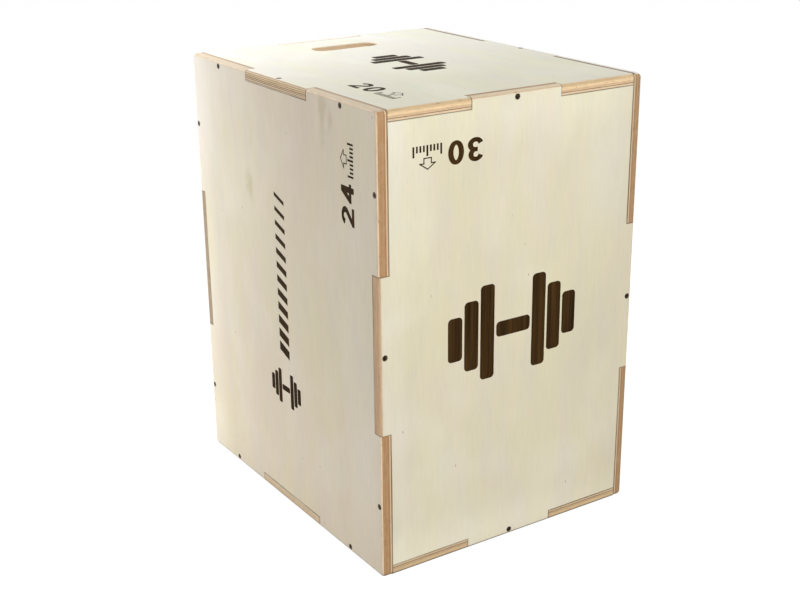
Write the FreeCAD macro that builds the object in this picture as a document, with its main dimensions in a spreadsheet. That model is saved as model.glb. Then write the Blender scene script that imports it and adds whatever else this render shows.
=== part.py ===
import FreeCAD, Part
import math
import os
import Sketcher

# A plyo box: six plywood panels that interlock with one tab or notch on each edge
# and are drawn together by countersunk wood screws through the tabs.
# Millimetres, +Z up, +X along the front, +Y from front to rear.
# The origin is the centre of the footprint, on the floor.

# Driving sizes: alias, value, meaning
SIZES = (
    ("box_width", "508", "across the front, the 20 inch side"),
    ("box_depth", "609.6", "front to rear, the 24 inch side"),
    ("box_height", "762", "floor to top, the 30 inch side"),
    ("panel_thickness", "18", "plywood thickness of every panel"),
    ("width_tab", "172", "length of the tabs that lie along the width"),
    ("depth_tab", "202", "length of the tabs that lie along the depth"),
    ("height_tab", "260", "length of the tabs that stand along the height"),
    ("joint_clearance", "0.4", "gap between a tab or panel edge and what it meets"),
    ("corner_radius", "8", "rounding of the side panels' own four corners"),
    ("arris_radius", "6", "rounding along the outer edges of the box"),
    ("slot_length", "130", "hand slot, end to end"),
    ("slot_width", "40", "hand slot, across"),
    ("slot_setback", "102", "rear face to the hand slot's centre line"),
    ("slot_rim_radius", "3", "rounding of the hand slot's rims"),
    ("screw_length", "45", "head to tip"),
    ("screw_diameter", "4.2", "shank and thread crest"),
    ("screw_tip", "6", "length of the pointed tip"),
    ("head_diameter", "8.4", "countersunk head"),
    ("head_rim", "0.4", "straight rim above the head's cone"),
    ("head_sink", "0.6", "head's top below the panel's face"),
    ("drive_span", "4", "cross recess, tip to tip"),
    ("drive_blade", "1.1", "cross recess, width of an arm"),
    ("drive_depth", "1.4", "cross recess, depth"),
    ("thread_pitch", "2.2", "spacing of the thread's grooves"),
    ("thread_groove", "0.6", "depth of the thread's grooves"),
    ("thread_length", "24", "threaded stretch above the tip"),
    ("screw_clearance", "0.1", "gap round the screw in its holes"),
    ("bore_run_out", "2", "pilot bore beyond the screw's tip"),
)

# A countersunk wood screw has a right-angled cone, so its depth equals its step in radius
COUNTERSINK_ANGLE = 90.0
FULL_TURN = 360.0
HALF_TURN_RADIANS = math.pi

# Points closer than this are taken as one
TOUCH = 1e-4

# Sketch references: the origin point, the two axes, and the points of a line or arc
ORIGIN = -1
HORIZONTAL_AXIS = -1
VERTICAL_AXIS = -2
START = 1
END = 2
CENTRE = 3

doc = FreeCAD.newDocument("plyo_box")
sheet = doc.addObject("Spreadsheet::Sheet", "Sizes")
for row, (alias, value, meaning) in enumerate(SIZES, start=1):
    sheet.set(f"A{row}", meaning)
    sheet.set(f"B{row}", value)
    sheet.setAlias(f"B{row}", alias)
doc.recompute()


class Size:
    """A length with its present value and the sheet expression that drives it."""

    def __init__(self, value, text):
        self.value = value
        self.text = text

    def __add__(self, other):
        return Size(self.value + other.value, f"({self.text} + {other.text})")

    def __sub__(self, other):
        return Size(self.value - other.value, f"({self.text} - {other.text})")

    def __mul__(self, factor):
        return Size(self.value * factor, f"({self.text} * {factor})")

    def __truediv__(self, divisor):
        return Size(self.value / divisor, f"({self.text} / {divisor})")


def size(alias):
    """One of the driving sizes."""
    return Size(float(getattr(sheet, alias)), f"Sizes.{alias}")


NOTHING = Size(0.0, "0")

half_width = size("box_width") / 2
half_depth = size("box_depth") / 2
half_height = size("box_height") / 2
thickness = size("panel_thickness")
clearance = size("joint_clearance")
half_width_tab = size("width_tab") / 2
half_depth_tab = size("depth_tab") / 2
half_height_tab = size("height_tab") / 2

# A panel that fits between two others stops short of their inner faces
seat = thickness + clearance
inner_half_width = half_width - seat
inner_half_depth = half_depth - seat
inner_half_height = half_height - seat

# Screws stand in the middle of the edge they bite into, and in the middle of their tab
mid_edge = thickness / 2
side_tab_height = (half_height + half_height_tab) / 2
side_tab_depth = (half_depth + half_depth_tab) / 2

screw_radius = size("screw_diameter") / 2
head_radius = size("head_diameter") / 2
head_rim = size("head_rim")
head_sink = size("head_sink")
hole_diameter = (screw_radius + size("screw_clearance")) * 2
countersink_diameter = (head_radius + head_rim + head_sink + size("screw_clearance")) * 2
bore_depth = size("screw_length") + head_sink - seat + size("bore_run_out")

# Screw places on each kind of panel, from its centre: each is repeated in the mirror on its middle lines
SIDE_SCREWS = ((half_depth - mid_edge, side_tab_height), (side_tab_depth, half_height - mid_edge))
END_SCREWS = ((half_width - mid_edge, NOTHING), (NOTHING, half_height - mid_edge))
LID_SCREWS = ((half_width - mid_edge, NOTHING),)


class Frame:
    """A panel's own axes in the box: along, up and outwards from the centre of its inner face."""

    def __init__(self, origin, along, up, outwards, ends):
        self.origin = origin
        self.directions = (along, up, outwards)
        self.along_ends = ends[:2]
        self.up_ends = ends[2:]

    def put(self, body, along, up, outwards):
        """Give a body a place that is measured along the panel's own axes."""
        position = list(self.origin)
        for direction, length in zip(self.directions, (along, up, outwards)):
            for axis, step in enumerate(direction):
                if step:
                    position[axis] = position[axis] + length * step
        vectors = [FreeCAD.Vector(*direction) for direction in self.directions]
        body.Placement = FreeCAD.Placement(FreeCAD.Vector(), FreeCAD.Rotation(*vectors, "ZXY"))
        for letter, length in zip("xyz", position):
            body.setExpression(f"Placement.Base.{letter}", length.text)


# The six panels: origin, the three directions, and what lies at either end of the first two
FRAMES = {
    "left": Frame(
        (thickness - half_width, NOTHING, half_height),
        (0, -1, 0), (0, 0, 1), (-1, 0, 0),
        ("front", "rear", "top", "bottom"),
    ),
    "right": Frame(
        (half_width - thickness, NOTHING, half_height),
        (0, 1, 0), (0, 0, 1), (1, 0, 0),
        ("rear", "front", "top", "bottom"),
    ),
    "front": Frame(
        (NOTHING, thickness - half_depth, half_height),
        (1, 0, 0), (0, 0, 1), (0, -1, 0),
        ("right", "left", "top", "bottom"),
    ),
    "rear": Frame(
        (NOTHING, half_depth - thickness, half_height),
        (-1, 0, 0), (0, 0, 1), (0, 1, 0),
        ("left", "right", "top", "bottom"),
    ),
    "top": Frame(
        (NOTHING, NOTHING, half_height * 2 - thickness),
        (1, 0, 0), (0, 1, 0), (0, 0, 1),
        ("right", "left", "rear", "front"),
    ),
    "bottom": Frame(
        (NOTHING, NOTHING, thickness),
        (-1, 0, 0), (0, 1, 0), (0, 0, -1),
        ("left", "right", "rear", "front"),
    ),
}


def new_sketch(body, name, role, offset=NOTHING):
    """Start a sketch on one of the body's origin planes, moved along that plane's normal."""
    sketch = body.newObject("Sketcher::SketchObject", f"{body.Label}_{name}")
    plane = next(feature for feature in body.Origin.OriginFeatures if feature.Role == role)
    sketch.AttachmentSupport = [(plane, "")]
    sketch.MapMode = "FlatFace"
    sketch.setExpression("AttachmentOffset.Base.z", offset.text)
    return sketch


def constrain(sketch, kind, *references):
    """Add a constraint to a sketch and tell its number."""
    return sketch.addConstraint(Sketcher.Constraint(kind, *references))


def tie(sketch, kind, references, length):
    """Add a dimension to a sketch and bind it to its expression."""
    index = constrain(sketch, kind, *references, length.value)
    sketch.setExpression(f"Constraints[{index}]", length.text)


def tie_point(sketch, geometry, point, across, up, downwards=False):
    """Fix a point by its distance across from the vertical axis and up or down from the other."""
    here = (geometry, point)
    centre = (ORIGIN, START)
    if across is NOTHING:
        constrain(sketch, "PointOnObject", *here, VERTICAL_AXIS)
    else:
        tie(sketch, "DistanceX", centre + here, across)
    if up is NOTHING:
        constrain(sketch, "PointOnObject", *here, HORIZONTAL_AXIS)
    else:
        tie(sketch, "DistanceY", here + centre if downwards else centre + here, up)


def close_loop(sketch, points):
    """Draw lines from point to point and back to the first."""
    following = points[1:] + points[:1]
    for point, target in zip(points, following):
        sketch.addGeometry(Part.LineSegment(point, target))
    for index in range(len(points)):
        constrain(sketch, "Coincident", index, END, (index + 1) % len(points), START)


def draw_outline(sketch, quarter):
    """Draw a closed outline that mirrors in both axes, from its corners in the first quadrant."""
    count = len(quarter)
    forward = list(range(count))
    backward = forward[::-1]
    quadrants = ((1, 1, forward), (-1, 1, backward), (-1, -1, forward), (1, -1, backward))
    mirrors = (None, (VERTICAL_AXIS,), (ORIGIN, START), (HORIZONTAL_AXIS,))
    corners = []
    points = []
    for (side, level, order), mirror in zip(quadrants, mirrors):
        for corner in order:
            across, up = quarter[corner]
            corners.append((corner, mirror))
            points.append(FreeCAD.Vector(side * across.value, level * up.value, 0))
    close_loop(sketch, points)
    for index, (corner, mirror) in enumerate(corners):
        if mirror is None:
            tie_point(sketch, index, START, *quarter[corner])
        else:
            constrain(sketch, "Symmetric", corner, START, index, START, *mirror)


def draw_profile(sketch, corners):
    """Draw a closed half-section from its corners: distance from the axis, and depth below the origin."""
    close_loop(sketch, [FreeCAD.Vector(radius.value, -depth.value, 0) for radius, depth in corners])
    for index, (radius, depth) in enumerate(corners):
        tie_point(sketch, index, START, radius, depth, downwards=True)


def images(across, up):
    """A place of the first quadrant and its mirror images, as signs with what they mirror in."""
    found = [(1, 1, None)]
    if across is not NOTHING:
        found.append((-1, 1, (VERTICAL_AXIS,)))
    if up is not NOTHING:
        found.append((1, -1, (HORIZONTAL_AXIS,)))
    if across is not NOTHING and up is not NOTHING:
        found.append((-1, -1, (ORIGIN, START)))
    return found


def draw_circles(sketch, places, both_ways=True):
    """Draw the screw hole's circle at places of the first quadrant and at their mirror images."""
    normal = FreeCAD.Vector(0, 0, 1)
    for across, up in places:
        first = sketch.GeometryCount
        for side, level, mirror in images(across, up):
            if level < 0 and not both_ways:
                continue
            centre = FreeCAD.Vector(side * across.value, level * up.value, 0)
            circle = sketch.addGeometry(Part.Circle(centre, normal, hole_diameter.value / 2))
            if mirror is None:
                tie_point(sketch, circle, CENTRE, across, up)
                tie(sketch, "Diameter", (circle,), hole_diameter)
            else:
                constrain(sketch, "Symmetric", first, CENTRE, circle, CENTRE, *mirror)
                constrain(sketch, "Equal", first, circle)


def settle_cut(feature, body, volume):
    """Recompute, and stop when a cut went the wrong way and took nothing off."""
    doc.recompute()
    if not body.Shape.Volume < volume:
        raise RuntimeError(f"{feature.Name} cuts nothing")


def drill(body, name, sketch):
    """Start a plain hole at each circle of a sketch."""
    doc.recompute()
    hole = body.newObject("PartDesign::Hole", f"{body.Label}_{name}")
    hole.Profile = sketch
    hole.setExpression("Diameter", hole_diameter.text)
    return hole


def sink_screw_holes(body, places):
    """Drill countersunk clearance holes from the panel's outer face."""
    sketch = new_sketch(body, "screw_places", "XY_Plane", thickness)
    draw_circles(sketch, places)
    volume = body.Tip.Shape.Volume
    hole = drill(body, "screw_holes", sketch)
    hole.DepthType = "ThroughAll"
    hole.HoleCutType = "Countersink"
    hole.HoleCutCustomValues = True
    hole.HoleCutCountersinkAngle = COUNTERSINK_ANGLE
    hole.setExpression("HoleCutDiameter", countersink_diameter.text)
    settle_cut(hole, body, volume)


def bore_edges(body, name, role, edge, place):
    """Drill pilot bores at mid-thickness into a pair of opposite edges."""
    for side, end in ((1, "a"), (-1, "b")):
        sketch = new_sketch(body, f"{name}_{end}_places", role, edge * side)
        draw_circles(sketch, [(place, mid_edge)], both_ways=False)
        volume = body.Tip.Shape.Volume
        hole = drill(body, f"{name}_{end}", sketch)
        hole.Reversed = side < 0
        hole.DepthType = "Dimension"
        hole.DrillPoint = "Flat"
        hole.setExpression("Depth", bore_depth.text)
        settle_cut(hole, body, volume)


def near(value, target):
    return abs(value - target.value) < TOUCH


def is_panel_corner(point, reach_along, reach_up):
    """True on the edges through the thickness at a panel's own four corners."""
    return near(abs(point.x), reach_along) and near(abs(point.y), reach_up)


def is_outer_rim(point, reach_along, reach_up):
    """True on the edges of the outer face that lie on the outside of the box."""
    on_side = near(abs(point.x), reach_along) or near(abs(point.y), reach_up)
    return near(point.z, thickness) and on_side


def round_edges(body, name, radius, test, *reach):
    """Round every edge whose two ends both pass a test."""
    doc.recompute()
    base = body.Tip
    chosen = []
    for number, edge in enumerate(base.Shape.Edges, start=1):
        if all(test(vertex.Point, *reach) for vertex in edge.Vertexes):
            chosen.append(f"Edge{number}")
    fillet = body.newObject("PartDesign::Fillet", f"{body.Label}_{name}")
    fillet.Base = (base, chosen)
    fillet.setExpression("Radius", radius.text)
    doc.recompute()


def cut_panel(side, quarter):
    """Cut a panel to its outline and set it in its place."""
    body = doc.addObject("PartDesign::Body", f"{side}_panel")
    body.Label = f"{side}_panel"
    outline = new_sketch(body, "outline", "XY_Plane")
    draw_outline(outline, quarter)
    board = body.newObject("PartDesign::Pad", f"{body.Label}_board")
    board.Profile = outline
    board.setExpression("Length", thickness.text)
    FRAMES[side].put(body, NOTHING, NOTHING, NOTHING)
    return body


def side_panel(side):
    """Left and right: they hold all eight corners of the box and are notched on each edge."""
    notch_up = half_height_tab + clearance
    notch_along = half_depth_tab + clearance
    quarter = (
        (inner_half_depth, notch_up),
        (half_depth, notch_up),
        (half_depth, half_height),
        (notch_along, half_height),
        (notch_along, inner_half_height),
    )
    body = cut_panel(side, quarter)
    round_edges(body, "corners", size("corner_radius"), is_panel_corner, half_depth, half_height)
    round_edges(body, "arris", size("arris_radius"), is_outer_rim, half_depth, half_height)
    sink_screw_holes(body, SIDE_SCREWS)
    bore_edges(body, "upright_bores", "YZ_Plane", inner_half_depth, NOTHING)
    bore_edges(body, "level_bores", "XZ_Plane", inner_half_height, NOTHING)


def end_panel(side):
    """Front and rear: a tab in the middle of each edge reaches out through its neighbour."""
    quarter = (
        (half_width, half_height_tab),
        (inner_half_width, half_height_tab),
        (inner_half_width, inner_half_height),
        (half_width_tab, inner_half_height),
        (half_width_tab, half_height),
    )
    body = cut_panel(side, quarter)
    round_edges(body, "arris", size("arris_radius"), is_outer_rim, half_width, half_height)
    sink_screw_holes(body, END_SCREWS)
    bore_edges(body, "side_bores", "YZ_Plane", inner_half_width, side_tab_height)


def lid_panel(side):
    """Top and bottom: tabs to the sides, notches front and rear, and a hand slot near the rear."""
    notch_along = half_width_tab + clearance
    quarter = (
        (half_width, half_depth_tab),
        (inner_half_width, half_depth_tab),
        (inner_half_width, half_depth),
        (notch_along, half_depth),
        (notch_along, inner_half_depth),
    )
    body = cut_panel(side, quarter)
    round_edges(body, "arris", size("arris_radius"), is_outer_rim, half_width, half_depth)
    cut_hand_slot(body)
    sink_screw_holes(body, LID_SCREWS)
    bore_edges(body, "side_bores", "YZ_Plane", inner_half_width, side_tab_depth)
    bore_edges(body, "end_bores", "XZ_Plane", inner_half_depth, NOTHING)


def draw_slot(sketch, straight, radius, level):
    """Draw a round-ended slot across the vertical axis, from half its straight length and its radius."""
    normal = FreeCAD.Vector(0, 0, 1)
    loop = []
    for side in (1, -1):
        middle = FreeCAD.Vector(side * straight.value, level.value, 0)
        rise = FreeCAD.Vector(0, side * radius.value, 0)
        far = FreeCAD.Vector(-side * straight.value, level.value, 0)
        circle = Part.Circle(middle, normal, radius.value)
        start = -side * HALF_TURN_RADIANS / 2
        loop.append(sketch.addGeometry(Part.ArcOfCircle(circle, start, start + HALF_TURN_RADIANS)))
        loop.append(sketch.addGeometry(Part.LineSegment(middle + rise, far + rise)))
    for geometry, following in zip(loop, loop[1:] + loop[:1]):
        constrain(sketch, "Tangent", geometry, END, following, START)
    right, _, left, _ = loop
    constrain(sketch, "Equal", right, left)
    constrain(sketch, "Symmetric", right, CENTRE, left, CENTRE, VERTICAL_AXIS)
    tie_point(sketch, right, CENTRE, straight, level)
    tie(sketch, "Radius", (right,), radius)


def cut_hand_slot(body):
    """Cut the slot that a hand grips, and round its rim on both faces."""
    radius = size("slot_width") / 2
    straight = size("slot_length") / 2 - radius
    level = half_depth - size("slot_setback")
    sketch = new_sketch(body, "slot_outline", "XY_Plane", thickness)
    draw_slot(sketch, straight, radius, level)
    doc.recompute()
    volume = body.Tip.Shape.Volume
    slot = body.newObject("PartDesign::Pocket", f"{body.Label}_slot")
    slot.Profile = sketch
    slot.Type = "ThroughAll"
    settle_cut(slot, body, volume)
    sides = (level - radius, level + radius)
    for face, name in ((thickness, "outer_rim"), (NOTHING, "inner_rim")):
        round_edges(body, name, size("slot_rim_radius"), is_slot_rim, straight, sides, face)


def is_slot_rim(point, straight, sides, face):
    """True where the slot's straight sides end, on one face of the panel."""
    on_side = any(near(point.y, side) for side in sides)
    return on_side and near(abs(point.x), straight) and near(point.z, face)


def wood_screw(label, frame, along, up):
    """Turn one countersunk screw with a cross recess and a ringed thread, and seat it in its panel."""
    body = doc.addObject("PartDesign::Body", label)
    body.Label = label
    cone_end = head_rim + head_radius - screw_radius
    tip_start = size("screw_length") - size("screw_tip")
    profile = new_sketch(body, "profile", "XZ_Plane")
    corners = (
        (NOTHING, NOTHING),
        (head_radius, NOTHING),
        (head_radius, head_rim),
        (screw_radius, cone_end),
        (screw_radius, tip_start),
        (NOTHING, size("screw_length")),
    )
    draw_profile(profile, corners)
    turned = body.newObject("PartDesign::Revolution", f"{label}_turned")
    turned.Profile = profile
    turned.ReferenceAxis = (profile, ["V_Axis"])
    turned.Angle = FULL_TURN
    press_recess(body)
    cut_thread(body, tip_start)
    frame.put(body, along, up, thickness - head_sink)
    doc.recompute()


def press_recess(body):
    """Press the cross recess into the head."""
    half_span = size("drive_span") / 2
    half_blade = size("drive_blade") / 2
    sketch = new_sketch(body, "cross", "XY_Plane")
    draw_outline(sketch, ((half_span, half_blade), (half_blade, half_blade), (half_blade, half_span)))
    doc.recompute()
    volume = body.Tip.Shape.Volume
    recess = body.newObject("PartDesign::Pocket", f"{body.Label}_recess")
    recess.Profile = sketch
    recess.setExpression("Length", size("drive_depth").text)
    settle_cut(recess, body, volume)


def cut_thread(body, tip_start):
    """Cut ring grooves up the shank from the tip, one for each turn of the thread."""
    pitch = size("thread_pitch")
    deep = size("thread_groove")
    first = tip_start - pitch / 2
    sketch = new_sketch(body, "thread_notch", "XZ_Plane")
    outside = screw_radius + deep
    corners = ((screw_radius - deep, first), (outside, first + deep * 2), (outside, first - deep * 2))
    draw_profile(sketch, corners)
    doc.recompute()
    volume = body.Tip.Shape.Volume
    groove = body.newObject("PartDesign::Groove", f"{body.Label}_groove")
    groove.Profile = sketch
    groove.ReferenceAxis = (sketch, ["V_Axis"])
    groove.Angle = FULL_TURN
    settle_cut(groove, body, volume)
    turns = f"floor({size('thread_length').text} / {pitch.text})"
    thread = body.newObject("PartDesign::LinearPattern", f"{body.Label}_thread")
    thread.Originals = [groove]
    thread.Direction = (sketch, ["V_Axis"])
    thread.setExpression("Occurrences", turns)
    thread.setExpression("Length", f"({turns} - 1) * {pitch.text}")
    volume = groove.Shape.Volume
    body.Tip = thread
    settle_cut(thread, body, volume)


def drive_screws(side, places):
    """Set a screw in each hole of a panel, named after the panel and the neighbours it stands near."""
    frame = FRAMES[side]
    for across, up in places:
        for along_sign, up_sign, _ in images(across, up):
            words = []
            if across is not NOTHING:
                words.append(frame.along_ends[0] if along_sign > 0 else frame.along_ends[1])
            if up is not NOTHING:
                words.append(frame.up_ends[0] if up_sign > 0 else frame.up_ends[1])
            # The neighbour that the screw bites into is named first
            if near(half_height.value - mid_edge.value, up):
                words.reverse()
            wood_screw("_".join(["screw", side] + words), frame, across * along_sign, up * up_sign)


for side, make, places in (
    ("left", side_panel, SIDE_SCREWS),
    ("right", side_panel, SIDE_SCREWS),
    ("front", end_panel, END_SCREWS),
    ("rear", end_panel, END_SCREWS),
    ("top", lid_panel, LID_SCREWS),
    ("bottom", lid_panel, LID_SCREWS),
):
    make(side)
    drive_screws(side, places)

doc.recompute()
for item in doc.Objects:
    if "Invalid" in item.State or "Error" in item.State:
        raise RuntimeError(f"{item.Label} failed to build")

os.makedirs("parts", exist_ok=True)
bodies = [item for item in doc.Objects if item.TypeId == "PartDesign::Body"]
for body in bodies:
    shape = body.Shape
    if shape.isNull() or not shape.isValid() or len(shape.Solids) != 1:
        raise RuntimeError(f"{body.Label} is not one sound solid")
    shape.exportStep(os.path.join("parts", f"{body.Label}.step"))
print(f"{len(bodies)} pieces written")
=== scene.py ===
# %% [markdown]
# # A plyo box in plywood
# A plyo box is a jumping box for training: six plywood panels that mesh at their edges and
# are screwed together. Turned onto another face it stands 20, 24 or 30 inches tall.
# Its solids come from the CAD frame and already have the right shape, so they stay, and
# this file gives them their looks: veneer, ply edges, dark screws, burnt-in height marks,
# a white studio and a camera at the photograph's place.

# %% Load the frame
from math import cos, pi, radians, sin

import bmesh
import bpy
from mathutils import Matrix, Vector
from mathutils.geometry import delaunay_2d_cdt


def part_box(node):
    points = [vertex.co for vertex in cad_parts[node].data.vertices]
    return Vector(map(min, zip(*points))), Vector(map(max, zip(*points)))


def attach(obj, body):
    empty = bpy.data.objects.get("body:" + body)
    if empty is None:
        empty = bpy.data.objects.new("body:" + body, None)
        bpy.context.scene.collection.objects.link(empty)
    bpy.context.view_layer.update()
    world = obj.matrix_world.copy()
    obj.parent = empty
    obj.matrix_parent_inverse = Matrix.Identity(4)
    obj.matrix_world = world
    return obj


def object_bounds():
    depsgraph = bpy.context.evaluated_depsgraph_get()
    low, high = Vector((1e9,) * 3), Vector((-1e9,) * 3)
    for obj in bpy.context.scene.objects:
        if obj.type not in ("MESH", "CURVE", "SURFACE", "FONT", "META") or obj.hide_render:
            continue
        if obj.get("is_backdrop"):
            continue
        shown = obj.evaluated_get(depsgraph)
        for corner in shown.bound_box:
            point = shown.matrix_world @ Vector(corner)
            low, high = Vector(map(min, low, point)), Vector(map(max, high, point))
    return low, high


MM_PER_M = 1000.0

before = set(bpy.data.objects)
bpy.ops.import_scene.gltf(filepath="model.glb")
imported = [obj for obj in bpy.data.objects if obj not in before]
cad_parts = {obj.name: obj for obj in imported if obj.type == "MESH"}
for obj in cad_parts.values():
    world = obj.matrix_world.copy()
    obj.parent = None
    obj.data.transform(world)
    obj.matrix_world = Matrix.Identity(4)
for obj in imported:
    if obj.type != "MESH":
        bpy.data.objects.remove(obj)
cad_low, cad_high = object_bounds()
scene = bpy.context.scene
print("frame:", len(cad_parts), "nodes,",
      [round(MM_PER_M * side, 1) for side in cad_high - cad_low], "mm")

# %% [markdown]
# ## Camera
# The camera was found by matching the box's corners in the photograph with the same corners
# of the solids. A camera could be aimed with a constraint, but writing its three axes into
# the matrix keeps the slight roll of a hand-held picture exactly.

# %% Place the camera
IMAGE_WIDTH, SENSOR_WIDTH = 800, 36
FOCAL_PIXELS = 1342.8
EYE = Vector((-1.2552, -1.8959, 1.1600))
LOOK = Vector((0.51360, 0.78715, -0.34148)).normalized()
RIGHT = Vector((0.83559, -0.54927, -0.00935)).normalized()

lens = bpy.data.cameras.new("photo_camera")
lens.sensor_fit = "HORIZONTAL"
lens.sensor_width = SENSOR_WIDTH
lens.lens = FOCAL_PIXELS / IMAGE_WIDTH * SENSOR_WIDTH
camera = bpy.data.objects.new("photo_camera", lens)
scene.collection.objects.link(camera)
axes = Matrix((RIGHT, RIGHT.cross(LOOK), -LOOK)).transposed()
camera.matrix_world = Matrix.Translation(EYE) @ axes.to_4x4()
scene.camera = camera
scene.view_settings.view_transform = "Standard"
print("camera:", round(lens.lens, 2), "mm lens,", round(EYE.length, 2), "m away")

# %% [markdown]
# ## Arithmetic on node sockets
# Wood is a matter of formulas: how deep a point lies in the panel, how near it is to an
# edge, which way the grain runs. Wiring dozens of Math nodes by hand hides those formulas,
# so a small class wraps a socket, and writing `depth / 18` adds the Math node. One method
# adds any other kind of node, its settings first and its sockets after them.

# %% Screen colours
WHITE = NO_TINT = (1, 1, 1, 1)


def paint(red, green, blue):
    """A colour as it looks on a screen, 0 to 255, turned into the linear numbers nodes use."""
    def linear(value):
        value /= 255
        return value / 12.92 if value <= 0.04045 else ((value + 0.055) / 1.055) ** 2.4
    return (linear(red), linear(green), linear(blue), 1)


print("a screen's 128 is", round(paint(128, 128, 128)[0], 3), "in nodes")

# %% A wire that calculates
class Wire:
    """An output socket of a node tree. Arithmetic on it adds Math nodes to that tree."""

    def __init__(self, tree, socket):
        self.tree, self.socket = tree, socket

    def node(self, kind, settings, sockets, output=0):
        """Add a node: settings first, then its sockets' values or wires; gives one output."""
        made = self.tree.nodes.new(kind)
        for name, value in settings.items():
            if name == "stops":
                set_stops(made.color_ramp, value)
            else:
                setattr(made, name, value)
        for name, value in sockets.items():
            if isinstance(value, Wire):
                self.tree.links.new(value.socket, made.inputs[name])
            else:
                made.inputs[name].default_value = value
        return Wire(self.tree, made.outputs[output])

    def maths(self, operation, first, second=0.0):
        return self.node("ShaderNodeMath", {"operation": operation}, {0: first, 1: second})

    def __add__(self, other): return self.maths("ADD", self, other)
    def __radd__(self, other): return self.maths("ADD", other, self)
    def __sub__(self, other): return self.maths("SUBTRACT", self, other)
    def __rsub__(self, other): return self.maths("SUBTRACT", other, self)
    def __mul__(self, other): return self.maths("MULTIPLY", self, other)
    def __rmul__(self, other): return self.maths("MULTIPLY", other, self)
    def __truediv__(self, other): return self.maths("DIVIDE", self, other)
    def __rtruediv__(self, other): return self.maths("DIVIDE", other, self)
    def __abs__(self): return self.maths("ABSOLUTE", self)

    def least(self, other): return self.maths("MINIMUM", self, other)
    def most(self, other): return self.maths("MAXIMUM", self, other)

    def ease(self, low, high):
        """0 below low, 1 above high, and a smooth rise between them."""
        return self.node("ShaderNodeMapRange", {"interpolation_type": "SMOOTHSTEP"},
                         {"Value": self, "From Min": low, "From Max": high})


def set_stops(ramp, stops):
    """Give a colour ramp its stops, as pairs of position and colour."""
    while len(ramp.elements) < len(stops):
        ramp.elements.new(1.0)
    for element, (position, colour) in zip(ramp.elements, stops):
        element.position, element.color = position, colour


print("a wire takes + - * / and", Wire.least.__name__, Wire.most.__name__, Wire.ease.__name__)

# %% Mixing colours, reading noise
MIX_FACTOR, MIX_FIRST, MIX_SECOND, MIX_RESULT = 0, 6, 7, 2


def blend(factor, first, second):
    """One colour turning into another as the factor goes from 0 to 1."""
    return factor.node("ShaderNodeMix", {"data_type": "RGBA"},
                       {MIX_FACTOR: factor, MIX_FIRST: first, MIX_SECOND: second}, MIX_RESULT)


def tinted(colour, tint):
    """A colour seen through a coloured filter."""
    return colour.node("ShaderNodeMix", {"data_type": "RGBA", "blend_type": "MULTIPLY"},
                       {MIX_FACTOR: 1.0, MIX_FIRST: colour, MIX_SECOND: tint}, MIX_RESULT)


def shade(colour, amount):
    """A colour made lighter or darker by a number that is about 1."""
    grey = amount.node("ShaderNodeCombineColor", {}, {0: amount, 1: amount, 2: amount})
    return tinted(colour, grey)


def noise(place, detail=2.0, distortion=0.0):
    """Soft random values around 0.5 at a place, where one wave is about 1 long."""
    return place.node("ShaderNodeTexNoise", {"noise_dimensions": "3D"},
                      {"Vector": place, "Scale": 1.0, "Detail": detail,
                       "Roughness": 0.5, "Distortion": distortion}, "Fac")


def point(first, second, third):
    """Three numbers as one place, at least one of them a wire."""
    wire = next(w for w in (first, second, third) if isinstance(w, Wire))
    return wire.node("ShaderNodeCombineXYZ", {}, {0: first, 1: second, 2: third})


print("helpers:", *[helper.__name__ for helper in (blend, tinted, shade, noise, point)])

# %% Empty finishes
def new_finish(name):
    """An empty material, its shader, and the x, y and z of a point in millimetres."""
    finish = bpy.data.materials.new(name)
    finish.use_nodes = True
    tree = finish.node_tree
    coords = tree.nodes.new("ShaderNodeTexCoord")
    parts = tree.nodes.new("ShaderNodeSeparateXYZ")
    tree.links.new(coords.outputs["Object"], parts.inputs[0])
    axes = [Wire(tree, parts.outputs[i]) * MM_PER_M for i in range(3)]
    return finish, tree.nodes["Principled BSDF"], dict(zip("xyz", axes))


def connect(shader, **wires):
    """Feed the shader's sockets; a socket's name is written with _ for a space."""
    for name, value in wires.items():
        socket = shader.inputs[name.replace("_", " ")]
        if isinstance(value, Wire):
            value.tree.links.new(value.socket, socket)
        else:
            socket.default_value = value


print("helpers:", new_finish.__name__, connect.__name__)

# %% [markdown]
# ## Where a point lies in its panel
# A plywood sheet is the same all over except in two ways: how deep a point lies decides
# which ply it is in, and how near it lies to the outline decides whether it is worn or
# shaded by a joint. Both could be painted into image maps, but the panels are flat, so each
# is a short formula on the point's coordinates. Beside the box's sizes, the formulas need the
# rows of the table below: each panel's axes, and the regions where a neighbour's tab or edge
# takes over from it.

# %% The panels' table
THICKNESS, GAP, ARRIS = 18.0, 0.4, 6.0
HALF = {"x": 254.0, "y": 304.8, "z": 381.0}
INNER = {"x": 235.6, "y": 286.4, "z": 362.6}
TAB = {"x": 86.0, "y": 101.0, "z": 130.0}
TOP = 2 * HALF["z"]


class Panel:
    """One panel: its thickness, grain and cross axes, and the neighbours' regions on its face.

    A region is (cross limit, side, grain limit, side): the neighbour's wood starts where the
    point is beyond both limits, on their outer (+1) or inner (-1) sides."""

    def __init__(self, node, directions, regions):
        self.node = node
        through, grain, cross = directions
        self.through, self.grain, self.cross = through[1], grain, cross
        low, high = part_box(node)
        axis = "xyz".index(self.through)
        self.inward = 1 if through[0] == "-" else -1
        self.outer = MM_PER_M * (low[axis] if self.inward > 0 else high[axis])
        self.regions = regions


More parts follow.
